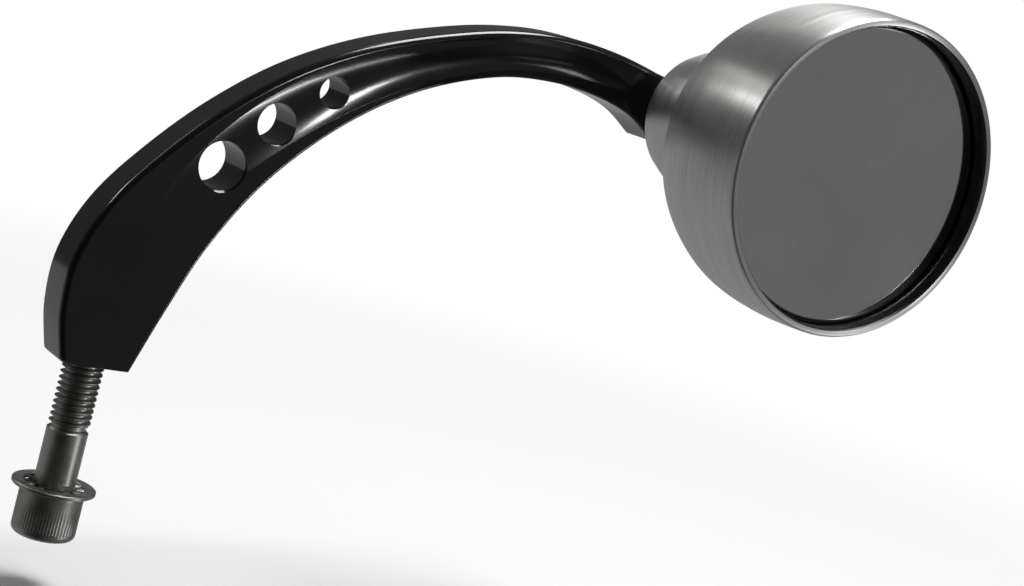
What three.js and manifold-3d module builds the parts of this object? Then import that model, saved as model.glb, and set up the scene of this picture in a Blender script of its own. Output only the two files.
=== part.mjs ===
// Round billet mirror on a curved, drilled arm, with the bolt that clamps it to a lever perch.
// Millimetres, +Z up. The origin is the centre of the arm's base face, on the bolt's axis.
// The arm lies in the XZ plane and the glass looks along -Y.
import * as THREE from 'three';
import { mergeVertices } from 'three/addons/utils/BufferGeometryUtils.js';
import { ParametricGeometry } from 'three/addons/geometries/ParametricGeometry.js';
import Module from 'manifold-3d';

const wasm = await Module();
wasm.setup();

// ---- driving dimensions ----
const armThickness = 12.7;
const armEdgeBreak = 1.0;
const armTip = { x: 148.0, z: 89.7, radius: 8.0 };
const baseCornerRadius = 2.0;
const lighteningHoles = [
  { x: 19.4, z: 52.8, radius: 6.0 },
  { x: 30.8, z: 65.2, radius: 5.1 },
  { x: 43.9, z: 75.5, radius: 4.0 },
];
const holeChamfer = 0.4;
const grooveDepth = 0.9;
const grooveLand = 3.0;

const boltRadius = 5.0;
const boltPitch = 1.5;
const boltEngaged = 13.5;
const threadShown = 16.5;
const washerTop = -30.6;
const washerThickness = 1.0;
const washerRadius = 10.1;
const boltHead = { radius: 7.75, height: 11.8, socketFlats: 8.0, socketDepth: 6.0 };
const boltTravelUp = 16;

const ballCentre = new THREE.Vector3(148.3, -23.55, 90.45);
const ballRadius = 9.0;
const studNeckRadius = 3.5;
const studShankRadius = 3.95;
const collar = { flats: 11.0, thickness: 1.8 };
const nut = { flats: 13.0, thickness: 6.0 };
const studWasher = { radius: 8.0, thickness: 1.6 };
const runningGap = 0.1;
const seatedGap = 0.05;

// Distances in the head are measured along its axis from the neck's rear rim.
const headPitch = THREE.MathUtils.degToRad(1.42);
const headYaw = THREE.MathUtils.degToRad(1.26);
const ballFromRim = 13.0;
const headLength = 71.6;
const boreRadius = 37.0;
const glass = { radius: 36.3, thickness: 3.0, recess: 4.6, edgeBreak: 0.5 };
const ledgeInner = 31.0;
const pad = { radius: 31.6, thickness: 1.0 };
const carrierThickness = 2.0;
const carrierScrew = { count: 3, circle: 34.2, radius: 1.25, headRadius: 2.2, length: 6.0 };
const socketBore = 12.3;
const jacket = { inner: 9.15, outer: 9.95, openAngle: 42, arcSteps: 14 };
const seatSphere = 10.1;
const spring = { inner: 6.2, outer: 11.2, thickness: 0.7, cone: 0.55 };
const plug = { thickness: 4.9, flats: 8.0, socketDepth: 3.4 };

const fineSteps = 48;
const smallSteps = 28;

// ---- materials ----
const finish = (name, color, roughness, metalness) =>
  new THREE.MeshStandardMaterial({ name, color, roughness, metalness });
const blackAnodised = finish('black_anodised', 0x0d0e10, 0.18, 0.6);
const steel = finish('steel', 0x6f6f6c, 0.4, 0.9);
const brushedAluminium = finish('brushed_aluminium', 0x8d8e8c, 0.38, 1.0);
const mirrorFace = finish('mirror_face', 0x4a4d4e, 0.08, 0.9);
const rubber = finish('rubber', 0x101010, 0.8, 0.0);
const acetal = finish('acetal', 0xe8e6de, 0.5, 0.0);
const foam = finish('foam', 0x2b2b2b, 0.95, 0.0);
const springSteel = finish('spring_steel', 0x55585c, 0.35, 0.9);

// ---- helpers ----
const point = (x, y) => new THREE.Vector2(x, y);

function welded(geometry) {
  const bare = geometry.clone();
  bare.deleteAttribute('normal');
  bare.deleteAttribute('uv');
  return mergeVertices(bare, 1e-4);
}

function solidOf(geometry) {
  const bare = welded(geometry);
  const index = bare.index.array;
  const kept = [];
  for (let i = 0; i < index.length; i += 3) {
    const [a, b, c] = [index[i], index[i + 1], index[i + 2]];
    if (a !== b && b !== c && c !== a) kept.push(a, b, c);
  }
  const mesh = new wasm.Mesh({
    numProp: 3,
    vertProperties: new Float32Array(bare.attributes.position.array),
    triVerts: new Uint32Array(kept),
  });
  return new wasm.Manifold(mesh);
}

function geometryOf(solid) {
  const mesh = solid.getMesh();
  const geometry = new THREE.BufferGeometry();
  geometry.setAttribute('position', new THREE.BufferAttribute(mesh.vertProperties, 3));
  geometry.setIndex(new THREE.BufferAttribute(mesh.triVerts, 1));
  return geometry;
}

function cut(geometry, cutters) {
  let solid = solidOf(geometry);
  for (const cutter of cutters) solid = solid.subtract(solidOf(cutter));
  return geometryOf(solid);
}

function join(geometries) {
  let solid = solidOf(geometries[0]);
  for (const other of geometries.slice(1)) solid = solid.add(solidOf(other));
  return geometryOf(solid);
}

function named(name, geometry, material) {
  const mesh = new THREE.Mesh(geometry, material);
  mesh.name = name;
  return mesh;
}

// A revolved piece from [radius, height] pairs, listed upwards along the outside.
function turned(pairs, steps = fineSteps) {
  return new THREE.LatheGeometry(pairs.map(([r, h]) => point(r, h)), steps);
}

function closedTurned(pairs, steps = fineSteps) {
  return turned([...pairs, pairs[0]], steps);
}

// Turns a lathe's height axis up from Y to Z.
function standing(geometry) {
  return geometry.rotateX(Math.PI / 2);
}

// A prism with a regular hexagon section, its length along the height axis.
function hexPrism(flats, height) {
  return new THREE.CylinderGeometry(flats / Math.sqrt(3), flats / Math.sqrt(3), height, 6);
}

// Points of an arc in [radius, height], from one polar angle to another in degrees.
function arcPairs(centreRadius, centreHeight, radius, from, to, steps) {
  const pairs = [];
  for (let i = 0; i <= steps; i += 1) {
    const angle = THREE.MathUtils.degToRad(from + ((to - from) * i) / steps);
    pairs.push([centreRadius + radius * Math.cos(angle), centreHeight + radius * Math.sin(angle)]);
  }
  return pairs;
}

// ---- arm ----
const outerEdge = [
  [-8.9, 2.0], [-11.4, 12.5], [-11.3, 25.0], [-6.3, 38.5], [3.3, 51.8], [17.1, 66.4],
  [33.9, 79.6], [54.0, 90.1], [78.0, 98.2], [96.0, 101.9], [110.0, 102.7], [124.0, 101.7],
  [137.0, 99.4],
].map(([x, z]) => point(x, z));
const innerEdge = [
  [139.3, 81.9], [130.5, 86.9], [119.0, 89.7], [104.0, 90.6], [86.8, 88.3], [66.7, 80.6],
  [48.6, 68.5], [32.5, 52.0], [21.4, 33.9], [14.3, 15.9], [8.9, 0.0],
].map(([x, z]) => point(x, z));

function armShape() {
  const outline = new THREE.Shape();
  const [corner] = outerEdge;
  outline.moveTo(corner.x + 1.3 * baseCornerRadius, 0);
  outline.quadraticCurveTo(corner.x + 0.3 * baseCornerRadius, 0, corner.x, corner.y);
  outline.splineThru(outerEdge.slice(1));
  const tipStart = THREE.MathUtils.degToRad(78);
  outline.absarc(armTip.x, armTip.z, armTip.radius, tipStart, -Math.PI / 2, true);
  outline.lineTo(innerEdge[0].x, innerEdge[0].y);
  outline.splineThru(innerEdge.slice(1));
  return outline;
}

// A cutter along Y through the arm, flared at both flanks.
function flankDrill(x, z, radius, chamfer) {
  const half = armThickness / 2;
  const beyond = 2;
  const wide = radius + chamfer + beyond;
  const drill = turned([
    [0, -half - beyond], [wide, -half - beyond], [radius, -half + chamfer],
    [radius, half - chamfer], [wide, half + beyond], [0, half + beyond],
  ], smallSteps);
  return drill.translate(x, 0, z);
}

// The groove milled along a flank: a lens-shaped bar laid along the arm's middle.
function grooveCutter(side) {
  const outer = new THREE.SplineCurve(outerEdge.slice(3, 12));
  const inner = new THREE.SplineCurve(innerEdge.slice(1, 9).reverse());
  const face = (side * armThickness) / 2;
  const lens = (u, v, target) => {
    const high = outer.getPoint(u);
    const low = inner.getPoint(u);
    const fade = Math.sin(Math.PI * u) ** 0.5;
    const middle = high.clone().add(low).multiplyScalar(0.5);
    const across = high.clone().sub(low);
    const width = Math.max(across.length() / 2 - grooveLand, 0.5) * fade;
    across.normalize().multiplyScalar(width * Math.cos(2 * Math.PI * v));
    const depth = grooveDepth * fade * Math.sin(2 * Math.PI * v);
    target.set(middle.x + across.x, face + depth, middle.y + across.y);
  };
  return new ParametricGeometry(lens, 24, 10);
}

function boltBore() {
  const depth = boltEngaged + boltTravelUp + 3;
  const radius = boltRadius + runningGap;
  return standing(turned([[0, -2], [radius, -2], [radius, depth], [0, depth + 3]], smallSteps));
}

function makeArm() {
  const plate = new THREE.ExtrudeGeometry(armShape(), {
    depth: armThickness - 2 * armEdgeBreak,
    bevelThickness: armEdgeBreak,
    bevelSize: armEdgeBreak,
    bevelOffset: -armEdgeBreak,
    bevelSegments: 1,
    curveSegments: 4,
  });
  plate.rotateX(Math.PI / 2);
  plate.translate(0, armThickness / 2 - armEdgeBreak, 0);
  const studHole = flankDrill(ballCentre.x, ballCentre.z, studShankRadius + runningGap, 0.2);
  const drills = lighteningHoles.map(({ x, z, radius }) => flankDrill(x, z, radius, holeChamfer));
  const cutters = [boltBore(), studHole, ...drills, grooveCutter(-1), grooveCutter(1)];
  return named('arm', cut(plate, cutters), blackAnodised);
}

// ---- bolt and its washer, standing on Z ----
function makeBolt() {
  const underHead = washerTop - washerThickness - seatedGap;
  const bottom = underHead - boltHead.height;
  const threadEnd = -threadShown;
  const root = boltRadius - 0.6 * boltPitch;
  const pairs = [[0, bottom], [6.4, bottom], [7.3, bottom + 0.5], [boltHead.radius, bottom + 1.6]];
  pairs.push([boltHead.radius, underHead - 0.4], [boltHead.radius - 0.4, underHead]);
  pairs.push([boltRadius, underHead], [boltRadius, threadEnd - 0.5], [root, threadEnd]);
  const crests = Math.floor((boltEngaged + threadShown) / boltPitch);
  for (let i = 0; i < crests; i += 1) {
    const valley = threadEnd + i * boltPitch;
    pairs.push([boltRadius, valley + 0.5 * boltPitch], [root, valley + boltPitch]);
  }
  pairs.push([root - 0.4, boltEngaged], [0, boltEngaged]);
  const socket = hexPrism(boltHead.socketFlats, boltHead.socketDepth + 2);
  socket.translate(0, bottom + boltHead.socketDepth / 2 - 1, 0);
  const blank = turned(pairs, smallSteps);
  return named('mounting_bolt', standing(cut(blank, [socket])), steel);
}

// Ring with teeth pointing in at the bolt's shank.
function makeLockWasher() {
  const teeth = 12;
  const ring = new THREE.Shape();
  ring.absarc(0, 0, washerRadius, 0, 2 * Math.PI, false);
  const inside = new THREE.Path();
  for (let i = 0; i < teeth; i += 1) {
    const start = (i / teeth) * 2 * Math.PI;
    const tooth = (2 * Math.PI) / teeth;
    const corners = [[7.2, 0], [5.35, 0.1], [5.35, 0.5], [7.2, 0.6]];
    for (const [radius, part] of corners) {
      const angle = start + part * tooth;
      const [x, y] = [radius * Math.cos(angle), radius * Math.sin(angle)];
      if (i === 0 && part === 0) inside.moveTo(x, y);
      else inside.lineTo(x, y);
    }
  }
  ring.holes.push(inside);
  const washer = new THREE.ExtrudeGeometry(ring, {
    depth: washerThickness - 0.3,
    bevelThickness: 0.15,
    bevelSize: 0.15,
    bevelOffset: -0.15,
    bevelSegments: 1,
    curveSegments: 16,
  });
  washer.translate(0, 0, washerTop - washerThickness + 0.15);
  return named('lock_washer', washer, steel);
}

// ---- ball stud, washer and nut, along Y through the arm's tip ----
// Heights run along -Y from the ball's centre towards the arm, so the nut has the largest.
const flankFromBall = -armThickness / 2 - ballCentre.y;
const backFromBall = armThickness / 2 - ballCentre.y;

function onStud(geometry) {
  return geometry.translate(ballCentre.x, ballCentre.y, ballCentre.z);
}

function makeBallStud() {
  const collarTop = flankFromBall - seatedGap;
  const neckAngle = THREE.MathUtils.radToDeg(Math.acos(studNeckRadius / ballRadius));
  const ball = arcPairs(0, 0, ballRadius, -90, neckAngle, 12);
  ball[0][0] = 0;
  const nutEnd = backFromBall + studWasher.thickness + nut.thickness;
  const shank = turned([
    ...ball, [studNeckRadius, collarTop - 1], [studShankRadius, collarTop - 1],
    [studShankRadius, nutEnd + 1], [studShankRadius - 0.8, nutEnd + 1.8], [0, nutEnd + 1.8],
  ], smallSteps);
  const hexagon = hexPrism(collar.flats, collar.thickness);
  hexagon.translate(0, collarTop - collar.thickness / 2, 0);
  return named('ball_stud', onStud(join([shank, hexagon])), steel);
}

function makeStudWasher() {
  const bottom = backFromBall + seatedGap;
  const top = backFromBall + studWasher.thickness;
  const inner = studShankRadius + runningGap;
  const pairs = [[inner, bottom], [studWasher.radius, bottom], [studWasher.radius, top], [inner, top]];
  return named('stud_washer', onStud(closedTurned(pairs, smallSteps)), steel);
}

function makeStudNut() {
  const bottom = backFromBall + studWasher.thickness + seatedGap;
  const height = nut.thickness - seatedGap;
  const body = hexPrism(nut.flats, height);
  body.translate(0, bottom + height / 2, 0);
  const hole = turned([
    [0, bottom - 1], [studShankRadius + runningGap, bottom - 1],
    [studShankRadius + runningGap, bottom + height + 1], [0, bottom + height + 1],
  ], smallSteps);
  return named('stud_nut', onStud(cut(body, [hole])), steel);
}

// ---- head: every piece is turned about the head's axis ----
// Distances s run from the neck's rear rim to the glass; a lathe height is ballFromRim - s.
const along = (pairs) => pairs.map(([r, s]) => [r, ballFromRim - s]);

function headTurned(pairs, steps = fineSteps) {
  return closedTurned(along(pairs), steps);
}

function makeHeadShell() {
  const ledge = glassFront() - glass.thickness - pad.thickness - carrierThickness - 3 * seatedGap;
  const floor = plugFront();
  const outside = [
    [9.0, 0], [15.6, 0], [16.7, 0.5], [17.4, 1.5], [18.3, 4.0], [19.4, 7.0], [20.4, 10.5],
    [21.1, 14.5], [21.5, 19.0], [22.2, 23.0], [23.8, 25.9], [26.8, 28.1], [30.2, 30.8], [33.1, 33.8],
    [35.2, 37.5], [36.9, 41.5], [38.2, 45.5], [38.9, 49.5], [39.3, 54.0], [39.5, 60.0],
    [39.3, 66.0], [39.05, 70.4], [38.7, headLength - 0.3], [38.3, headLength],
  ];
  const inside = [
    [boreRadius + 0.6, headLength], [boreRadius + 0.1, headLength - 0.4], [boreRadius, ledge],
    [ledgeInner, ledge], [ledgeInner, ledge - 4.5], [34.6, ledge - 8.5], [34.0, 44.0],
    [31.0, 38.0], [26.0, 34.4], [20.0, floor], [socketBore, floor], [socketBore, 3.6], [9.0, 3.6],
  ];
  const blank = headTurned([...outside, ...inside].reverse());
  return named('head_shell', cut(blank, carrierScrewHoles(carrierScrew.radius + seatedGap)), brushedAluminium);
}

function glassFront() {
  return headLength - glass.recess;
}

function plugBack() {
  return ballFromRim + 12.2 + 2 * (spring.thickness + spring.cone) + 3 * seatedGap;
}

function plugFront() {
  return plugBack() + plug.thickness;
}

// A thin cup that covers the ball and is open towards the neck.
function makeBallJacket() {
  const open = 90 - jacket.openAngle;
  const inner = arcPairs(0, 0, jacket.inner, -90, open, jacket.arcSteps);
  const outer = arcPairs(0, 0, jacket.outer, open, -90, jacket.arcSteps);
  inner[0][0] = 0;
  outer[outer.length - 1][0] = 0;
  return named('ball_jacket', turned([...inner, ...outer].reverse(), smallSteps), acetal);
}

function makeRearSeat() {
  const outer = socketBore - runningGap;
  const sphere = arcPairs(0, 0, seatSphere, 45, 2, 5);
  const back = ballFromRim - 3.6 - seatedGap;
  const pairs = [[8.7, back], ...sphere, [outer, 0.3], [outer, back]];
  return named('rear_seat', closedTurned(pairs, smallSteps), acetal);
}

function makeFrontCup() {
  const outer = socketBore - runningGap;
  const sphere = arcPairs(0, 0, seatSphere, -2, -90, 9);
  sphere[sphere.length - 1][0] = 0;
  const pairs = [[0, -12.2], [outer - 0.6, -12.2], [outer, -11.6], [outer, -0.3], ...sphere];
  return named('front_cup', turned(pairs, smallSteps), acetal);
}

function makeDiscSpring(number) {
  const start = -12.2 - seatedGap - (number - 1) * (spring.thickness + spring.cone + seatedGap);
  const rises = number % 2 === 1;
  const innerTop = rises ? start : start - spring.cone;
  const outerTop = rises ? start - spring.cone : start;
  const pairs = [
    [spring.inner, innerTop - spring.thickness], [spring.outer, outerTop - spring.thickness],
    [spring.outer, outerTop], [spring.inner, innerTop],
  ];
  return named(`disc_spring_${number}`, closedTurned(pairs, smallSteps), springSteel);
}

function makeAdjusterPlug() {
  const back = ballFromRim - plugBack() - seatedGap;
  const front = ballFromRim - plugFront();
  const outer = socketBore - runningGap;
  const disc = turned([
    [0, front], [outer - 0.5, front], [outer, front + 0.5], [outer, back - 0.5],
    [outer - 0.5, back], [0, back],
  ], smallSteps);
  const socket = hexPrism(plug.flats, plug.socketDepth + 2);
  socket.translate(0, front + plug.socketDepth / 2 - 1, 0);
  return named('adjuster_plug', cut(disc, [socket]), steel);
}

function carrierScrewHoles(radius) {
  return screwPlaces().map(({ x, z }) => {
    const front = ballFromRim - glassFront() - 1;
    const back = ballFromRim - carrierFront() + carrierScrew.length + 0.6;
    const hole = turned([[0, front], [radius, front], [radius, back], [0, back]], 20);
    return hole.translate(x, 0, z);
  });
}

function screwPlaces() {
  const places = [];
  for (let i = 0; i < carrierScrew.count; i += 1) {
    const angle = Math.PI / 2 + (i * 2 * Math.PI) / carrierScrew.count;
    places.push({ x: carrierScrew.circle * Math.cos(angle), z: carrierScrew.circle * Math.sin(angle) });
  }
  return places;
}

function carrierFront() {
  return glassFront() - glass.thickness - pad.thickness - 2 * seatedGap;
}

function headFlare() {
  return carrierScrew.headRadius - carrierScrew.radius;
}

function makeGlassCarrier() {
  const front = carrierFront();
  const back = front - carrierThickness;
  const outer = boreRadius - runningGap;
  const middle = 9;
  const blank = headTurned([[middle, front], [outer, front], [outer, back], [middle, back]]);
  const high = ballFromRim - front;
  const clear = carrierScrew.radius + runningGap;
  const sinks = screwPlaces().map(({ x, z }) => {
    const sink = turned([
      [0, high - 1], [clear + headFlare() + 1, high - 1], [clear, high + headFlare()],
      [clear, high + carrierThickness + 1], [0, high + carrierThickness + 1],
    ], 20);
    return sink.translate(x, 0, z);
  });
  return named('glass_carrier', cut(blank, sinks), blackAnodised);
}

function makeCarrierScrew(place, number) {
  const top = ballFromRim - carrierFront() + 0.1;
  const { radius, length } = carrierScrew;
  const screw = turned([
    [0, top], [radius + headFlare() - 0.1, top], [radius, top + headFlare() - 0.1],
    [radius, top + length - 0.4], [radius - 0.4, top + length], [0, top + length],
  ], 20);
  screw.translate(place.x, 0, place.z);
  return named(`carrier_screw_${number}`, screw, steel);
}

function makeAdhesivePad() {
  const front = glassFront() - glass.thickness - seatedGap;
  const pairs = [
    [0, ballFromRim - front], [pad.radius, ballFromRim - front],
    [pad.radius, ballFromRim - front + pad.thickness], [0, ballFromRim - front + pad.thickness],
  ];
  return named('adhesive_pad', turned(pairs), foam);
}

function makeGlass() {
  const front = ballFromRim - glassFront();
  const back = front + glass.thickness;
  const { radius, edgeBreak } = glass;
  const pairs = [[0, front], [radius - edgeBreak, front], [radius, front + edgeBreak], [radius, back], [0, back]];
  return named('mirror_glass', turned(pairs), mirrorFace);
}

function makeGlassSeal() {
  const front = ballFromRim - glassFront() + 0.6;
  const back = ballFromRim - glassFront() + glass.thickness;
  const inner = glass.radius + seatedGap;
  const outer = boreRadius - seatedGap;
  const pairs = [[inner, front], [outer, front], [outer, back], [inner, back]];
  return named('glass_seal', closedTurned(pairs), rubber);
}

function makeHead() {
  const head = new THREE.Group();
  head.position.copy(ballCentre);
  head.rotation.set(headPitch, 0, -headYaw, 'ZXY');
  head.add(makeHeadShell(), makeRearSeat(), makeFrontCup(), makeAdjusterPlug(), makeBallJacket());
  for (const number of [1, 2]) head.add(makeDiscSpring(number));
  head.add(makeGlassCarrier(), makeAdhesivePad(), makeGlass(), makeGlassSeal());
  screwPlaces().forEach((place, index) => head.add(makeCarrierScrew(place, index + 1)));
  return head;
}

const mirror = new THREE.Group();
mirror.add(makeArm(), makeBolt(), makeLockWasher());
mirror.add(makeBallStud(), makeStudWasher(), makeStudNut());
mirror.add(makeHead());
mirror.updateMatrixWorld(true);

export default mirror;
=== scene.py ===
import math

import bmesh
import bpy
from mathutils import Matrix, Vector


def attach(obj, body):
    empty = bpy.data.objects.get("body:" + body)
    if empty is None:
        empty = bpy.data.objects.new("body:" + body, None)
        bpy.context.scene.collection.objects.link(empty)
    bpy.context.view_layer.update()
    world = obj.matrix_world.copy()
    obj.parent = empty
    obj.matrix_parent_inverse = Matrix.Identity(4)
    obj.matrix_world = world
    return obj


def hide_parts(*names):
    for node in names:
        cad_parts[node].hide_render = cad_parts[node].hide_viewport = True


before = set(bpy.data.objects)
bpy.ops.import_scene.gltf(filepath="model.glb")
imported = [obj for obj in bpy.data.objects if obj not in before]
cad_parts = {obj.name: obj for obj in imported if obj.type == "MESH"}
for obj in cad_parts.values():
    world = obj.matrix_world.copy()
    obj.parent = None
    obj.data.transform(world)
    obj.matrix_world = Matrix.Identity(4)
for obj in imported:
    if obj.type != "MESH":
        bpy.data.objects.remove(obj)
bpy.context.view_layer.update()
mm = 0.001
fullTurn = 2 * math.pi
print("frame loaded with", len(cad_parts), "nodes")


# mesh helpers, all sizes in millimetres
def smoothPath(points, steps):
    # a soft line that passes through every point
    made, last = [], len(points) - 1
    for i in range(last):
        p, q, r, s = (points[min(max(i + k, 0), last)] for k in (-1, 0, 1, 2))
        for k in range(steps):
            t = k / steps
            spot = []
            for a, b, c, d in zip(p, q, r, s):
                leave, arrive = (c - a) / 2, (d - b) / 2
                cube = 2 * b - 2 * c + leave + arrive
                square = 3 * c - 3 * b - 2 * leave - arrive
                spot.append(((cube * t + square) * t + leave) * t + b)
            made.append(tuple(spot))
    return made + [tuple(points[last])]


def arc(centre, radius, start, end, steps):
    made = []
    for i in range(steps + 1):
        angle = math.radians(start + (end - start) * i / steps)
        made.append((centre[0] + radius * math.cos(angle), centre[1] + radius * math.sin(angle)))
    return made


def lathe(profile, steps):
    # turns a line of (radius, height) points round Z
    bm = bmesh.new()
    spots = [bm.verts.new((r * mm, 0, h * mm)) for r, h in profile]
    lines = [bm.edges.new(pair) for pair in zip(spots, spots[1:])]
    bmesh.ops.spin(bm, geom=spots + lines, cent=(0, 0, 0), axis=(0, 0, 1), angle=fullTurn,
                   steps=steps, use_merge=True, dvec=(0, 0, 0))
    bmesh.ops.remove_doubles(bm, verts=bm.verts, dist=1e-7)
    bmesh.ops.recalc_face_normals(bm, faces=bm.faces)
    return bm


def hexBar(flats, low, high):
    bm = bmesh.new()
    bmesh.ops.create_cone(bm, cap_ends=True, segments=6, radius1=flats / math.sqrt(3) * mm,
                          radius2=flats / math.sqrt(3) * mm, depth=(high - low) * mm)
    bmesh.ops.translate(bm, verts=bm.verts, vec=(0, 0, (high + low) / 2 * mm))
    return bm


def wrapMap(bm):
    # a map whose first direction runs round Z, for the turning marks
    layer = bm.loops.layers.uv.new("wrap")
    for face in bm.faces:
        middle = face.calc_center_median()
        facing = math.atan2(middle.y, middle.x)
        for loop in face.loops:
            spot = loop.vert.co
            around = (math.atan2(spot.y, spot.x) - facing + math.pi) % fullTurn - math.pi
            loop[layer].uv = ((facing + around) / fullTurn, (spot.z - spot.xy.length) / 0.05)


def loose(bm):
    mesh = bpy.data.meshes.new("loose")
    bm.to_mesh(mesh)
    bm.free()
    thing = bpy.data.objects.new("loose", mesh)
    bpy.context.scene.collection.objects.link(thing)
    return thing


def settled(thing, others=()):
    # the mesh with its modifiers done, as a new bmesh
    bpy.context.view_layer.update()
    bm = bmesh.new()
    bm.from_mesh(thing.evaluated_get(bpy.context.evaluated_depsgraph_get()).to_mesh())
    for old in (thing, *others):
        data = old.data
        bpy.data.objects.remove(old)
        bpy.data.meshes.remove(data)
    return bm


def carved(bm, cutters, how="DIFFERENCE"):
    thing = loose(bm)
    tools = [loose(cutter) for cutter in cutters]
    for tool in tools:
        step = thing.modifiers.new("cut", "BOOLEAN")
        step.operation, step.solver, step.object = how, "EXACT", tool
    return settled(thing, tools)


def joined(parts):
    whole = bmesh.new()
    for part in parts:
        mesh = bpy.data.meshes.new("part")
        part.to_mesh(mesh)
        part.free()
        whole.from_mesh(mesh)
        bpy.data.meshes.remove(mesh)
    return whole


def finished(bm, name, look, body, standsFor, place=None, crease=32, weighted=False):
    if place is not None:
        bm.transform(place)
    mesh = bpy.data.meshes.new(name)
    bm.to_mesh(mesh)
    bm.free()
    mesh.shade_smooth()
    mesh.set_sharp_from_angle(angle=math.radians(crease))
    mesh.materials.append(look)
    piece = bpy.data.objects.new(name, mesh)
    bpy.context.scene.collection.objects.link(piece)
    if weighted:
        even = piece.modifiers.new("even normals", "WEIGHTED_NORMAL")
        even.keep_sharp, even.weight = True, 80
    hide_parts(*standsFor)
    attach(piece, body)
    return piece


# shader helpers
def shaderGroup(name, inputs, outputs):
    group = bpy.data.node_groups.new(name, "ShaderNodeTree")
    for label, kind, value in inputs:
        socket = group.interface.new_socket(label, in_out="INPUT", socket_type=kind)
        if value is not None:
            socket.default_value = value
    for label, kind in outputs:
        group.interface.new_socket(label, in_out="OUTPUT", socket_type=kind)
    return group, group.nodes.new("NodeGroupInput"), group.nodes.new("NodeGroupOutput")


def link(tree, start, end):
    tree.links.new(start, end)


def mathNode(tree, how, first, second=None):
    node = tree.nodes.new("ShaderNodeMath")
    node.operation = how
    for socket, value in zip(node.inputs, (first, second)):
        if isinstance(value, (int, float)):
            socket.default_value = value
        elif value is not None:
            link(tree, value, socket)
    return node.outputs[0]


def spread(tree, value, low, high, toLow, toHigh):
    node = tree.nodes.new("ShaderNodeMapRange")
    node.inputs["From Min"].default_value, node.inputs["From Max"].default_value = low, high
    for label, edge in (("To Min", toLow), ("To Max", toHigh)):
        if isinstance(edge, (int, float)):
            node.inputs[label].default_value = edge
        else:
            link(tree, edge, node.inputs[label])
    link(tree, value, node.inputs["Value"])
    return node.outputs["Result"]


def makeMottle():
    # cloudy patches and fine grain, for colour and gloss that are never quite even
    group, start, end = shaderGroup(
        "mottle",
        [("Place", "NodeSocketVector", None), ("Patch Scale", "NodeSocketFloat", 60.0),
         ("Grain Scale", "NodeSocketFloat", 900.0), ("Grain Share", "NodeSocketFloat", 0.5)],
        [("Mask", "NodeSocketFloat"), ("Grain", "NodeSocketFloat")])
    patch = group.nodes.new("ShaderNodeTexNoise")
    grain = group.nodes.new("ShaderNodeTexNoise")
    patch.inputs["Detail"].default_value, grain.inputs["Detail"].default_value = 4.0, 2.0
    for node, label in ((patch, "Patch Scale"), (grain, "Grain Scale")):
        link(group, start.outputs["Place"], node.inputs["Vector"])
        link(group, start.outputs[label], node.inputs["Scale"])
    fine = mathNode(group, "MULTIPLY", grain.outputs["Fac"], start.outputs["Grain Share"])
    rest = mathNode(group, "SUBTRACT", 1.0, start.outputs["Grain Share"])
    broad = mathNode(group, "MULTIPLY", patch.outputs["Fac"], rest)
    both = mathNode(group, "ADD", fine, broad)
    link(group, spread(group, both, 0.3, 0.7, 0.0, 1.0), end.inputs["Mask"])
    link(group, grain.outputs["Fac"], end.inputs["Grain"])
    return group


def makeTurningMarks():
    # rings left by a lathe tool and brushing, round the Y axis of the place it is given
    group, start, end = shaderGroup(
        "turningMarks",
        [("Place", "NodeSocketVector", None), ("Fine Pitch", "NodeSocketFloat", 3200.0),
         ("Broad Pitch", "NodeSocketFloat", 420.0)],
        [("Lines", "NodeSocketFloat"), ("Bands", "NodeSocketFloat")])
    parts = group.nodes.new("ShaderNodeSeparateXYZ")
    link(group, start.outputs["Place"], parts.inputs[0])
    x, y, z = parts.outputs
    square = mathNode(group, "ADD", mathNode(group, "MULTIPLY", x, x), mathNode(group, "MULTIPLY", z, z))
    reach = mathNode(group, "SQRT", square)
    along = mathNode(group, "SUBTRACT", y, reach)
    turn = mathNode(group, "ARCTAN2", z, x)
    for label, pitch, aroundScale in (("Lines", "Fine Pitch", 2.2), ("Bands", "Broad Pitch", 0.5)):
        row = group.nodes.new("ShaderNodeCombineXYZ")
        link(group, mathNode(group, "MULTIPLY", along, start.outputs[pitch]), row.inputs[0])
        link(group, mathNode(group, "MULTIPLY", mathNode(group, "COSINE", turn), aroundScale), row.inputs[1])
        link(group, mathNode(group, "MULTIPLY", mathNode(group, "SINE", turn), aroundScale), row.inputs[2])
        noise = group.nodes.new("ShaderNodeTexNoise")
        noise.inputs["Scale"].default_value, noise.inputs["Detail"].default_value = 1.0, 3.0
        link(group, row.outputs[0], noise.inputs["Vector"])
        link(group, noise.outputs["Fac"], end.inputs[label])
    return group


mottle = makeMottle()
turningMarks = makeTurningMarks()


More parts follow.
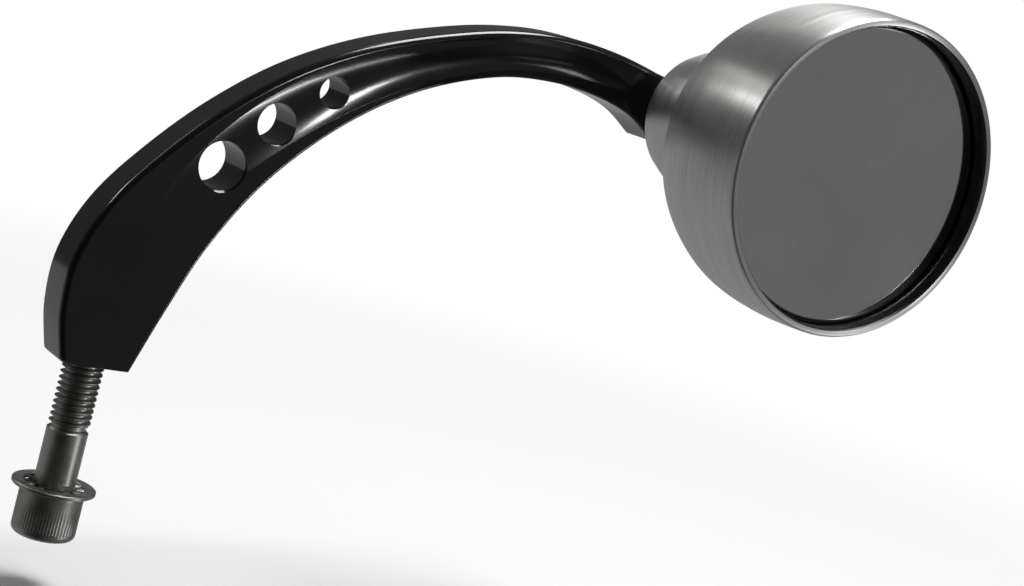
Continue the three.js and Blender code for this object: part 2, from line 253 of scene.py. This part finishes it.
class Look:
    # one material with its Principled shader and the object's own coordinates
    def __init__(self, name, **fixed):
        self.material = bpy.data.materials.new(name)
        self.material.use_nodes = True
        self.tree = self.material.node_tree
        self.shader = self.tree.nodes["Principled BSDF"]
        self.place = self.tree.nodes.new("ShaderNodeTexCoord").outputs["Object"]
        for label, value in fixed.items():
            self.shader.inputs[label.replace("_", " ")].default_value = value

    def use(self, group, place=None, **values):
        node = self.tree.nodes.new("ShaderNodeGroup")
        node.node_tree = group
        link(self.tree, place or self.place, node.inputs["Place"])
        for label, value in values.items():
            node.inputs[label.replace("_", " ")].default_value = value
        return node.outputs

    def centred(self, matrix):
        # coordinates counted from an axis: its middle first, then its turn
        shift = self.tree.nodes.new("ShaderNodeMapping")
        shift.inputs["Location"].default_value = -matrix.to_translation()
        turn = self.tree.nodes.new("ShaderNodeMapping")
        turn.inputs["Rotation"].default_value = matrix.to_3x3().inverted().to_euler()
        link(self.tree, self.place, shift.inputs["Vector"])
        link(self.tree, shift.outputs[0], turn.inputs["Vector"])
        return turn.outputs[0]

    def colour(self, value, low, high):
        ramp = self.tree.nodes.new("ShaderNodeValToRGB")
        ramp.color_ramp.elements[0].color = (*low, 1)
        ramp.color_ramp.elements[1].color = (*high, 1)
        link(self.tree, value, ramp.inputs[0])
        link(self.tree, ramp.outputs[0], self.shader.inputs["Base Color"])

    def rough(self, value, low, high):
        link(self.tree, spread(self.tree, value, 0.0, 1.0, low, high), self.shader.inputs["Roughness"])

    def bump(self, value, strength, distance):
        node = self.tree.nodes.new("ShaderNodeBump")
        node.inputs["Strength"].default_value, node.inputs["Distance"].default_value = strength, distance
        link(self.tree, value, node.inputs["Height"])
        link(self.tree, node.outputs[0], self.shader.inputs["Normal"])

    def brushedRound(self):
        tangent = self.tree.nodes.new("ShaderNodeTangent")
        tangent.direction_type, tangent.uv_map = "UV_MAP", "wrap"
        link(self.tree, tangent.outputs[0], self.shader.inputs["Tangent"])


# where the head's axis lies: its ball, and the small tip down and in
headAim = {"ball": (148.3, -23.55, 90.45), "down": 1.42, "inward": 1.26, "ballFromRim": 13.0}
headPlace = (Matrix.Translation([v * mm for v in headAim["ball"]])
             @ Matrix.Rotation(math.radians(-headAim["inward"]), 4, "Z")
             @ Matrix.Rotation(math.radians(headAim["down"]), 4, "X"))
ontoY = Matrix.Rotation(math.radians(-90), 4, "X")  # lays a turned piece's Z along Y
studPlace = Matrix.Translation([v * mm for v in headAim["ball"]]) @ ontoY


def alongHead(pairs):
    return [(r, headAim["ballFromRim"] - s) for r, s in pairs]


def blackAnodised():
    look = Look("blackAnodised", Metallic=0.0, IOR=1.5, Coat_Weight=0.25, Coat_Roughness=0.03)
    marks = look.use(mottle, Patch_Scale=45.0, Grain_Scale=2600.0, Grain_Share=0.35)
    look.colour(marks["Mask"], (0.0035, 0.0036, 0.004), (0.0085, 0.0087, 0.0095))
    look.rough(marks["Mask"], 0.10, 0.19)
    look.bump(marks["Grain"], 0.05, 0.00003)
    return look.material


def turnedAluminium():
    look = Look("turnedAluminium", Metallic=0.82, Anisotropic=0.75, Anisotropic_Rotation=0.25)
    lines = look.use(turningMarks, look.centred(headPlace), Fine_Pitch=3000.0, Broad_Pitch=380.0)
    look.colour(lines["Lines"], (0.40, 0.40, 0.395), (0.72, 0.72, 0.71))
    look.rough(lines["Bands"], 0.27, 0.42)
    look.bump(lines["Lines"], 0.10, 0.00006)
    look.brushedRound()
    return look.material


def dullSteel(name, dark, light, roughLow, roughHigh, bite=0.25):
    look = Look(name, Metallic=1.0)
    marks = look.use(mottle, Patch_Scale=260.0, Grain_Scale=4200.0, Grain_Share=0.45)
    look.colour(marks["Mask"], dark, light)
    look.rough(marks["Mask"], roughLow, roughHigh)
    look.bump(marks["Grain"], bite, 0.00005)
    return look.material


def tintedMirror():
    look = Look("tintedMirror", Metallic=1.0)
    marks = look.use(mottle, Patch_Scale=22.0, Grain_Scale=700.0, Grain_Share=0.1)
    look.colour(marks["Mask"], (0.66, 0.67, 0.665), (0.82, 0.83, 0.825))
    look.rough(marks["Mask"], 0.06, 0.11)
    return look.material


def dullPlastic(name, dark, light, roughLow, roughHigh, grain, depth):
    look = Look(name)
    marks = look.use(mottle, Patch_Scale=120.0, Grain_Scale=grain, Grain_Share=0.6)
    look.colour(marks["Mask"], dark, light)
    look.rough(marks["Mask"], roughLow, roughHigh)
    look.bump(marks["Grain"], 0.4, depth)
    return look.material


black = blackAnodised()
aluminium = turnedAluminium()
# a dark steel for the cup's deep inner wall: painted shade in the recess
shadedRecess = dullSteel("shadedRecess", (0.05, 0.05, 0.05), (0.12, 0.12, 0.12), 0.28, 0.38, 0.03)
boltSteel = dullSteel("boltSteel", (0.20, 0.199, 0.192), (0.44, 0.437, 0.42), 0.30, 0.46)
springWire = dullSteel("springSteel", (0.12, 0.125, 0.135), (0.24, 0.245, 0.26), 0.24, 0.36)
mirrorFace = tintedMirror()
rubber = dullPlastic("rubber", (0.006, 0.006, 0.006), (0.016, 0.016, 0.016), 0.6, 0.8, 3000.0, 0.00006)
acetal = dullPlastic("acetal", (0.60, 0.59, 0.55), (0.74, 0.73, 0.69), 0.38, 0.5, 2200.0, 0.00002)
foam = dullPlastic("foam", (0.012, 0.012, 0.012), (0.04, 0.04, 0.04), 0.85, 0.98, 1500.0, 0.0002)
print("materials made")


# the arm: a thick curved bar, rounded more along its outer edge, with a groove down each side
armShape = {
    "thickness": 12.7,
    "outer": [(-8.9, 2.0), (-11.4, 12.5), (-11.3, 25.0), (-6.3, 38.5), (3.3, 51.8), (17.1, 66.4),
              (33.9, 79.6), (54.0, 90.1), (78.0, 98.2), (96.0, 101.9), (110.0, 102.7), (124.0, 101.7),
              (137.0, 99.4)],
    "inner": [(139.3, 81.9), (130.5, 86.9), (119.0, 89.7), (104.0, 90.6), (86.8, 88.3), (66.7, 80.6),
              (48.6, 68.5), (32.5, 52.0), (21.4, 33.9), (14.3, 15.9), (8.9, 0.0)],
    "tip": (148.0, 89.7), "tipRadius": 8.0,
    "roundOuter": 2.3, "roundInner": 1.1, "roundEnds": 0.6, "roundSteps": 6,
    "holes": [(19.4, 52.8, 6.0), (30.8, 65.2, 5.1), (43.9, 75.5, 4.0)], "holeChamfer": 0.45,
    "grooveDepth": 1.05, "grooveLand": 2.9, "grooveSteps": 72,
    "boreRadius": 5.1, "boreDepth": 32.5, "studHole": 4.05,
}


def armBlank(shape):
    half = shape["thickness"] / 2
    corner = [(-6.3, 0.0), (-7.7, 0.28), (-8.55, 0.95)]
    tip = arc(shape["tip"], shape["tipRadius"], 78, -90, 20)
    outer = corner + smoothPath(shape["outer"], 7) + tip
    inner = smoothPath(shape["inner"], 7)
    bm = bmesh.new()
    weight = bm.edges.layers.float.new("bevel_weight_edge")
    rim = [bm.verts.new((x * mm, -half * mm, z * mm)) for x, z in outer + inner]
    lines = [bm.edges.new(pair) for pair in zip(rim, rim[1:] + rim[:1])]
    side = bmesh.ops.edgeloop_fill(bm, edges=lines)["faces"]
    moved = bmesh.ops.extrude_face_region(bm, geom=side)["geom"]
    across = [v for v in moved if isinstance(v, bmesh.types.BMVert)]
    bmesh.ops.translate(bm, verts=across, vec=(0, 2 * half * mm, 0))
    bmesh.ops.recalc_face_normals(bm, faces=bm.faces)
    innerSpots = {(round(x, 3), round(z, 3)) for x, z in inner} | {(round(tip[-1][0], 3), round(tip[-1][1], 3))}
    for edge in bm.edges:
        a, b = edge.verts
        if abs(a.co.y - b.co.y) > mm:
            if edge.calc_face_angle() > math.radians(35):
                edge[weight] = shape["roundEnds"] / shape["roundOuter"]
            continue
        ends = [(round(v.co.x / mm, 3), round(v.co.z / mm, 3)) for v in (a, b)]
        low = a.co.z < 0.1 * mm and b.co.z < 0.1 * mm
        if low:
            edge[weight] = shape["roundEnds"] / shape["roundOuter"]
        elif all(spot in innerSpots for spot in ends):
            edge[weight] = shape["roundInner"] / shape["roundOuter"]
        else:
            edge[weight] = 1.0
    blank = loose(bm)
    rounding = blank.modifiers.new("rounding", "BEVEL")
    rounding.limit_method, rounding.width = "WEIGHT", shape["roundOuter"] * mm
    rounding.segments, rounding.profile, rounding.use_clamp_overlap = shape["roundSteps"], 0.5, True
    return settled(blank)


def grooveCutter(shape, sideways):
    # rings laid across the bar, joined one to the next
    outer = smoothPath(shape["outer"][3:12], 60)
    inner = smoothPath(list(reversed(shape["inner"][1:9])), 60)
    bm = bmesh.new()
    before = None
    for step in range(1, shape["grooveSteps"]):
        u = step / shape["grooveSteps"]
        fade = math.sin(math.pi * u) ** 0.5
        high, low = Vector(outer[round(u * (len(outer) - 1))]), Vector(inner[round(u * (len(inner) - 1))])
        middle, reach = (high + low) / 2, high - low
        half = max(reach.length / 2 - shape["grooveLand"], 0.5) * fade
        way = reach.normalized()
        ring = bmesh.ops.create_circle(bm, segments=48, radius=1.0)["verts"]
        for v in ring:
            v.co.y *= abs(v.co.y)  # a shallow scoop with no steep wall
        depth, face = shape["grooveDepth"] * fade * fade, sideways * shape["thickness"] / 2
        frameOf = Matrix(((way.x * half, 0, -way.y, middle.x), (0, depth, 0, face),
                          (way.y * half, 0, way.x, middle.y), (0, 0, 0, 1)))
        bmesh.ops.transform(bm, matrix=Matrix.Scale(mm, 4) @ frameOf, verts=ring)
        edges = list({e for v in ring for e in v.link_edges})
        if before is None:
            bmesh.ops.edgeloop_fill(bm, edges=edges)
        else:
            bmesh.ops.bridge_loops(bm, edges=before + edges)
        before = edges
    bmesh.ops.edgeloop_fill(bm, edges=before)
    bmesh.ops.recalc_face_normals(bm, faces=bm.faces)
    return bm


def flankDrill(shape, x, z, radius, chamfer):
    half, beyond = shape["thickness"] / 2, 2.0
    wide = radius + chamfer + beyond
    drill = lathe([(0, -half - beyond), (wide, -half - beyond), (radius, -half + chamfer),
                   (radius, half - chamfer), (wide, half + beyond), (0, half + beyond)], 80)
    drill.transform(Matrix.Translation((x * mm, 0, z * mm)) @ ontoY)
    return drill


def makeArm(shape):
    x, y, z = headAim["ball"]
    cutters = [grooveCutter(shape, -1), grooveCutter(shape, 1)]
    cutters += [flankDrill(shape, *hole, shape["holeChamfer"]) for hole in shape["holes"]]
    cutters.append(flankDrill(shape, x, z, shape["studHole"], 0.2))
    bore = shape["boreRadius"]
    cutters.append(lathe([(0, -2), (bore, -2), (bore, shape["boreDepth"]), (0, shape["boreDepth"] + 3)], 48))
    bm = carved(armBlank(shape), cutters)
    bmesh.ops.remove_doubles(bm, verts=bm.verts, dist=1e-6)
    finished(bm, "curvedArm", black, "arm", ["arm"], crease=24, weighted=True)


makeArm(armShape)
print("arm made")


# the bolt: a cut helix, a plain shank and a knurled cap head with a hexagon socket
boltShape = {
    "radius": 5.0, "root": 4.09, "pitch": 1.5, "threadLow": -16.5, "threadHigh": 13.4,
    "underHead": -31.65, "headHeight": 11.8, "headRadius": 7.75, "flutes": 64, "fluteDepth": 0.17,
    "socketFlats": 8.0, "socketDepth": 6.0,
}


def boltThread(bolt):
    pitch, root, crest = bolt["pitch"], bolt["root"], bolt["radius"] - 0.03
    rise = (pitch - 0.55) / 2
    tooth = [(root, 0), (crest, rise), (crest, rise + 0.19), (root, 2 * rise + 0.19), (root, pitch)]
    perTurn, turns = 40, int((bolt["threadHigh"] - bolt["threadLow"]) / pitch)
    bm = bmesh.new()
    spots = [bm.verts.new((r * mm, 0, (bolt["threadLow"] + h) * mm)) for r, h in tooth]
    lines = [bm.edges.new(pair) for pair in zip(spots, spots[1:])]
    bmesh.ops.spin(bm, geom=spots + lines, cent=(0, 0, 0), axis=(0, 0, 1), angle=fullTurn * turns,
                   steps=perTurn * turns, use_merge=False, dvec=(0, 0, pitch / perTurn * mm))
    bmesh.ops.remove_doubles(bm, verts=bm.verts, dist=1e-6)
    bmesh.ops.recalc_face_normals(bm, faces=bm.faces)
    return bm


def boltHead(bolt):
    top, radius = bolt["underHead"], bolt["headRadius"]
    bottom = top - bolt["headHeight"]
    lowRound = arc((radius - 1.5, bottom + 1.5), 1.5, -90, 0, 6)
    highRound = arc((radius - 0.6, top - 0.6), 0.6, 0, 90, 4)
    profile = [(0, bottom)] + lowRound + [(radius, bottom + 2.4), (radius, top - 1.3)] + highRound
    bm = lathe(profile + [(bolt["radius"], top), (0, top)], bolt["flutes"] * 2)
    half = math.pi / bolt["flutes"]
    for v in bm.verts:
        reach = v.co.xy.length
        if reach > (radius - 0.02) * mm and (bottom + 2.0) * mm < v.co.z < (top - 0.8) * mm:
            if round(math.atan2(v.co.y, v.co.x) / half) % 2:
                v.co.xy *= 1 - bolt["fluteDepth"] * mm / reach
    socket = hexBar(bolt["socketFlats"], bottom - 2, bottom + bolt["socketDepth"])
    flare = lathe([(0, bottom - 1), (6.2, bottom - 1), (4.2, bottom + 1.0), (0, bottom + 1.0)], 64)
    return carved(bm, [socket, flare])


def makeBolt(bolt):
    radius, low = bolt["radius"], bolt["threadLow"]
    shank = lathe([(0, bolt["underHead"] - 1), (radius, bolt["underHead"] - 1), (radius, low - 0.55),
                   (bolt["root"] - 0.01, low + 0.2), (bolt["root"] - 0.01, bolt["threadHigh"] - 0.6),
                   (bolt["root"] - 0.8, bolt["threadHigh"]), (0, bolt["threadHigh"])], 64)
    bm = joined([boltThread(bolt), shank, boltHead(bolt)])
    finished(bm, "mountingBolt", boltSteel, "bolt", ["mounting_bolt"], crease=28)


makeBolt(boltShape)

washerShape = {
    "top": -30.6, "thickness": 1.0, "edge": 0.18, "outer": 10.1, "inner": 7.3,
    "teeth": 12, "toothTip": 5.35, "toothWidth": 1.5, "toothThickness": 0.62, "toothEdge": 0.12, "twist": 16,
}


def makeWasher(washer):
    top, bottom, edge = washer["top"], washer["top"] - washer["thickness"], washer["edge"]
    outer, inner = washer["outer"], washer["inner"]
    ring = lathe([(inner, bottom + edge), (inner + edge, bottom), (outer - edge, bottom), (outer, bottom + edge),
                  (outer, top - edge), (outer - edge, top), (inner + edge, top), (inner, top - edge),
                  (inner, bottom + edge)], 96)
    parts = [ring]
    for i in range(washer["teeth"]):
        tooth = bmesh.new()
        bmesh.ops.create_cube(tooth, size=1.0)
        long = inner + 0.5 - washer["toothTip"]
        size = Matrix.Diagonal((long * mm, washer["toothWidth"] * mm, washer["toothThickness"] * mm, 1))
        twist = Matrix.Rotation(math.radians(washer["twist"]), 4, "X")
        out = Matrix.Translation(((washer["toothTip"] + long / 2) * mm, 0, (top + bottom) / 2 * mm))
        around = Matrix.Rotation(fullTurn * (i + 0.3) / washer["teeth"], 4, "Z")
        bmesh.ops.transform(tooth, matrix=around @ out @ twist @ size, verts=tooth.verts)
        bmesh.ops.bevel(tooth, geom=tooth.edges, offset=washer["toothEdge"] * mm, segments=2,
                        profile=0.5, affect="EDGES", material=-1)
        parts.append(tooth)
    finished(joined(parts), "toothedWasher", boltSteel, "clamp_washer", ["lock_washer"], crease=28)


makeWasher(washerShape)
print("bolt and washer made")


# the ball stud through the arm's tip, with its washer and nut behind
studShape = {
    "ball": 9.0, "neck": 3.5, "shank": 3.95, "flank": 17.2, "back": 29.9,
    "collarFlats": 11.0, "collar": 1.8, "threadRings": 6, "threadDepth": 0.45,
    "washerRadius": 8.0, "washer": 1.6, "washerEdge": 0.25, "nutFlats": 13.0, "nut": 6.0,
}


def chamferedHex(flats, low, high, bothEnds):
    corner = flats / math.sqrt(3)
    cut = (corner - flats / 2) * 0.6
    lowEdge = corner - 2 * cut if bothEnds else corner + 1
    bm = hexBar(flats, low, high)
    barrel = lathe([(0, low), (lowEdge, low), (corner + 0.02, low + cut), (corner + 0.02, high - cut),
                    (corner - 2 * cut, high), (0, high)], 96)
    return carved(bm, [barrel], "INTERSECT")


def makeStud(stud):
    neckAngle = math.degrees(math.acos(stud["neck"] / stud["ball"]))
    ball = arc((0, 0), stud["ball"], -90, neckAngle, 28)
    ball[0] = (0, -stud["ball"])
    nutEnd = stud["back"] + stud["washer"] + stud["nut"]
    collarTop = stud["flank"] - 0.05
    neck = [(stud["neck"], collarTop - stud["collar"] - 0.8), (stud["neck"] + 0.5, collarTop - stud["collar"]),
            (stud["shank"], collarTop - 1)]
    rings = []
    for i in range(stud["threadRings"]):
        rings += [(stud["shank"], nutEnd - 4.4 + i), (stud["shank"] - stud["threadDepth"], nutEnd - 3.9 + i)]
    end = [(stud["shank"], nutEnd + 1.3), (stud["shank"] - 0.6, nutEnd + 1.8), (0, nutEnd + 1.8)]
    parts = [lathe(ball + neck + rings[:-1] + end, 72),
             chamferedHex(stud["collarFlats"], collarTop - stud["collar"], collarTop, False)]
    finished(joined(parts), "ballStud", boltSteel, "arm", ["ball_stud"], studPlace, 28)
    low = stud["back"]
    high, inner, outer = low + stud["washer"], stud["shank"] + 0.1, stud["washerRadius"]
    edge = stud["washerEdge"]
    ring = [(inner, low), (outer - edge, low), (outer, low + edge), (outer, high - edge), (outer - edge, high),
            (inner, high), (inner, low)]
    finished(lathe(ring, 80), "studWasher", boltSteel, "arm", ["stud_washer"], studPlace, 28)
    bottom, top = high + 0.05, high + stud["nut"]
    hole = lathe([(0, bottom - 1), (inner, bottom - 1), (inner, top + 1), (0, top + 1)], 48)
    flare = lathe([(0, top - 0.7), (inner - 0.1, top - 0.7), (inner + 0.7, top + 0.1), (0, top + 0.1)], 48)
    nut = carved(chamferedHex(stud["nutFlats"], bottom, top, True), [hole, flare])
    finished(nut, "studNut", boltSteel, "arm", ["stud_nut"], studPlace, 28)


makeStud(studShape)
print("stud made")


# the head: one turned cup with a flared neck, then the glass and its rubber ring
headShape = {
    # the bore past this depth and within this radius takes the dark look: painted shade
    "steps": 176, "shadeFrom": 56, "shadeWithin": 37.3,
    "rearRim": [(8.6, 3.6), (8.6, 0.3), (8.9, 0.0), (15.3, 0.0), (16.2, 0.2), (16.9, 0.7), (17.4, 1.5)],
    "outside": [(17.4, 1.5), (18.3, 4.0), (19.4, 7.0), (20.4, 10.5), (21.1, 14.5), (21.5, 19.0), (22.2, 23.0),
                (23.8, 25.9), (26.8, 28.1), (30.2, 30.8), (33.1, 33.8), (35.2, 37.5), (36.9, 41.5),
                (38.2, 45.5), (38.9, 49.5), (39.3, 54.0), (39.5, 60.0), (39.3, 66.0), (39.05, 70.4)],
    "lip": [(39.0, 70.9), (38.85, 71.3), (38.5, 71.6), (37.9, 71.6), (37.4, 71.45), (37.1, 71.1), (37.0, 70.6)],
    "inside": [(37.0, 60.85), (31.0, 60.85), (31.0, 56.35), (34.6, 52.35), (34.0, 44.0), (31.0, 38.0),
               (26.0, 34.4), (20.0, 32.75), (12.3, 32.75), (12.3, 3.6), (8.6, 3.6)],
}


def makeHead(head):
    profile = head["rearRim"][:-1] + smoothPath(head["outside"], 4) + head["lip"] + head["inside"]
    bm = lathe(alongHead(profile), head["steps"])
    wrapMap(bm)
    # faces deep in the cup's bore take the second, darker look: painted shade in the recess
    for face in bm.faces:
        spot = face.calc_center_median()
        deep = spot.z < (headAim["ballFromRim"] - head["shadeFrom"]) * mm
        if deep and spot.xy.length < head["shadeWithin"] * mm:
            face.material_index = 1
    cup = finished(bm, "headCup", aluminium, "head", ["head_shell"], headPlace @ ontoY, 30)
    cup.data.materials.append(shadedRecess)


makeHead(headShape)

glassShape = {"radius": 36.3, "front": 67.0, "thickness": 3.0, "edge": 0.5, "bore": 36.95}


def makeGlass(glass):
    front, radius, edge = glass["front"], glass["radius"], glass["edge"]
    back = front - glass["thickness"]
    pane = [(0, front), (radius - edge, front), (radius - edge / 3, front - edge / 4), (radius, front - edge),
            (radius, back), (0, back)]
    finished(lathe(alongHead(pane), 160), "mirrorGlass", mirrorFace, "head", ["mirror_glass"],
             headPlace @ ontoY, 12)
    inner, outer = radius + 0.05, glass["bore"]
    ring = [(inner, back), (inner, front - 0.9), (inner + 0.15, front - 0.65), (outer - 0.15, front - 0.65),
            (outer, front - 0.9), (outer, back), (inner, back)]
    finished(lathe(alongHead(ring), 160), "glassSeal", rubber, "head", ["glass_seal"],
             headPlace @ ontoY, 40)


makeGlass(glassShape)
print("head and glass made")

# pieces inside the head keep their own shape and take a finish
insideLooks = {
    "rear_seat": acetal, "front_cup": acetal, "ball_jacket": acetal, "adjuster_plug": boltSteel,
    "disc_spring_1": springWire, "disc_spring_2": springWire, "glass_carrier": black, "adhesive_pad": foam,
    "carrier_screw_1": boltSteel, "carrier_screw_2": boltSteel, "carrier_screw_3": boltSteel,
}
for nodeName, look in insideLooks.items():
    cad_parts[nodeName].data.materials.clear()
    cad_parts[nodeName].data.materials.append(look)


# floor, light and camera
stageSet = {
    "floorHeight": -0.0560, "floorRadius": 6.0, "floorColour": 0.88,
    "plainFrom": 0.24, "plainTo": 0.62,  # the floor turns plain between these distances
    "backdrop": 1.0, "frontRight": 0.155, "frontLeft": 0.03, "backDark": 0.095, "lowBack": 0.40,
    "horizon": -0.09, "turnFrom": -0.25, "turnTo": 0.35,  # where the surround changes tone
}
headSpot, armSpot, crownSpot = (0.148, -0.055, 0.090), (0.050, 0.0, 0.075), (0.100, 0.0, 0.092)
lampSet = {
    # name: what it points at, direction to it, distance, width, height, power
    "keyFront": (armSpot, (0.30, -0.93, 0.205), 1.1, 0.15, 0.08, 1.1),
    "crownFront": (crownSpot, (0.53, -0.80, 0.265), 1.1, 0.10, 0.06, 0.5),
    "sideRight": (armSpot, (0.70, -0.64, -0.30), 0.9, 0.12, 0.06, 0.7),
    "overhead": (armSpot, (0.25, 0.05, 0.97), 1.2, 0.80, 0.60, 17.0),
    "stripLeft": (headSpot, (-0.56, 0.68, 0.49), 0.8, 0.36, 0.035, 0.16),
    "stripTop": (headSpot, (0.10, 0.76, 0.62), 0.9, 0.03, 0.26, 0.06),
    "neckGlow": (headSpot, (-0.78, 0.50, 0.40), 0.7, 0.30, 0.04, 0.40),
}
cameraSet = {
    "position": (-0.2036, -0.4601, 0.1090), "azimuth": -34.549, "elevation": 7.6405, "roll": 15.3421, "lens": 75.0,
}


def makeFloor(stage):
    bm = bmesh.new()
    bmesh.ops.create_circle(bm, cap_ends=True, segments=64, radius=stage["floorRadius"])
    bmesh.ops.translate(bm, verts=bm.verts, vec=(0.07, 0, stage["floorHeight"]))
    mesh = bpy.data.meshes.new("floor")
    bm.to_mesh(mesh)
    bm.free()
    floor = bpy.data.objects.new("floor", mesh)
    bpy.context.scene.collection.objects.link(floor)
    pale = Look("paleFloor", Roughness=0.9)
    pale.shader.inputs["Base Color"].default_value = (*[stage["floorColour"]] * 3, 1)
    pale.shader.inputs["Specular IOR Level"].default_value = 0.0
    tree = pale.tree
    reach = tree.nodes.new("ShaderNodeVectorMath")
    reach.operation = "DISTANCE"
    reach.inputs[1].default_value = (0.09, 0.0, stage["floorHeight"])
    link(tree, pale.place, reach.inputs[0])
    share = tree.nodes.new("ShaderNodeMapRange")
    share.interpolation_type = "SMOOTHSTEP"
    share.inputs["From Min"].default_value = stage["plainFrom"]
    share.inputs["From Max"].default_value = stage["plainTo"]
    link(tree, reach.outputs["Value"], share.inputs["Value"])
    glow, mix = tree.nodes.new("ShaderNodeEmission"), tree.nodes.new("ShaderNodeMixShader")
    link(tree, share.outputs[0], mix.inputs[0])
    link(tree, pale.shader.outputs[0], mix.inputs[1])
    link(tree, glow.outputs[0], mix.inputs[2])
    link(tree, mix.outputs[0], tree.nodes["Material Output"].inputs["Surface"])
    mesh.materials.append(pale.material)
    floor.visible_glossy = floor.visible_diffuse = floor.visible_shadow = False


def makeSurround(stage):
    # white to the camera, but darker behind and lighter low down for the metal to reflect
    world = bpy.data.worlds.new("studio")
    bpy.context.scene.world = world
    world.use_nodes = True
    tree = world.node_tree
    place = tree.nodes.new("ShaderNodeTexCoord")
    parts = tree.nodes.new("ShaderNodeSeparateXYZ")
    link(tree, place.outputs["Generated"], parts.inputs[0])
    turnFrom, turnTo = stage["turnFrom"], stage["turnTo"]
    low = spread(tree, parts.outputs["Z"], stage["horizon"] - 0.03, stage["horizon"] + 0.01, stage["lowBack"],
                 stage["backDark"])
    front = spread(tree, parts.outputs["X"], turnFrom, turnTo, stage["frontLeft"], stage["frontRight"])
    level = spread(tree, parts.outputs["Y"], turnFrom, turnTo, front, low)
    path = tree.nodes.new("ShaderNodeLightPath")
    seen = spread(tree, path.outputs["Is Camera Ray"], 0.0, 1.0, level, stage["backdrop"])
    link(tree, seen, tree.nodes["Background"].inputs["Strength"])
    tree.nodes["Background"].inputs["Color"].default_value = (1, 1, 1, 1)


def makeLamps(lamps):
    for name, (spot, way, distance, width, height, power) in lamps.items():
        light = bpy.data.lights.new(name, "AREA")
        light.shape, light.size, light.size_y, light.energy = "RECTANGLE", width, height, power
        lamp = bpy.data.objects.new(name, light)
        bpy.context.scene.collection.objects.link(lamp)
        direction = Vector(way).normalized()
        lamp.location = Vector(spot) + direction * distance
        lamp.rotation_mode = "QUATERNION"
        lamp.rotation_quaternion = direction.to_track_quat("Z", "Y")
        lamp.visible_camera = False


def makeCamera(settings):
    a, e, roll = (math.radians(settings[k]) for k in ("azimuth", "elevation", "roll"))
    back = Vector((math.sin(a) * math.cos(e), -math.cos(a) * math.cos(e), math.sin(e)))
    right = Vector((math.cos(a), math.sin(a), 0))
    up = back.cross(right)
    turned = Matrix((right, up, back)).transposed() @ Matrix.Rotation(roll, 3, "Z")
    camera = bpy.data.objects.new("camera", bpy.data.cameras.new("camera"))
    bpy.context.scene.collection.objects.link(camera)
    camera.data.lens, camera.data.sensor_width = settings["lens"], 36.0
    camera.data.clip_start, camera.data.clip_end = 0.01, 50.0
    camera.location = settings["position"]
    camera.rotation_mode = "QUATERNION"
    camera.rotation_quaternion = turned.to_quaternion()
    bpy.context.scene.camera = camera


makeFloor(stageSet)
makeSurround(stageSet)
makeLamps(lampSet)
makeCamera(cameraSet)
bpy.context.scene.view_settings.view_transform = "Standard"
print("stage set")
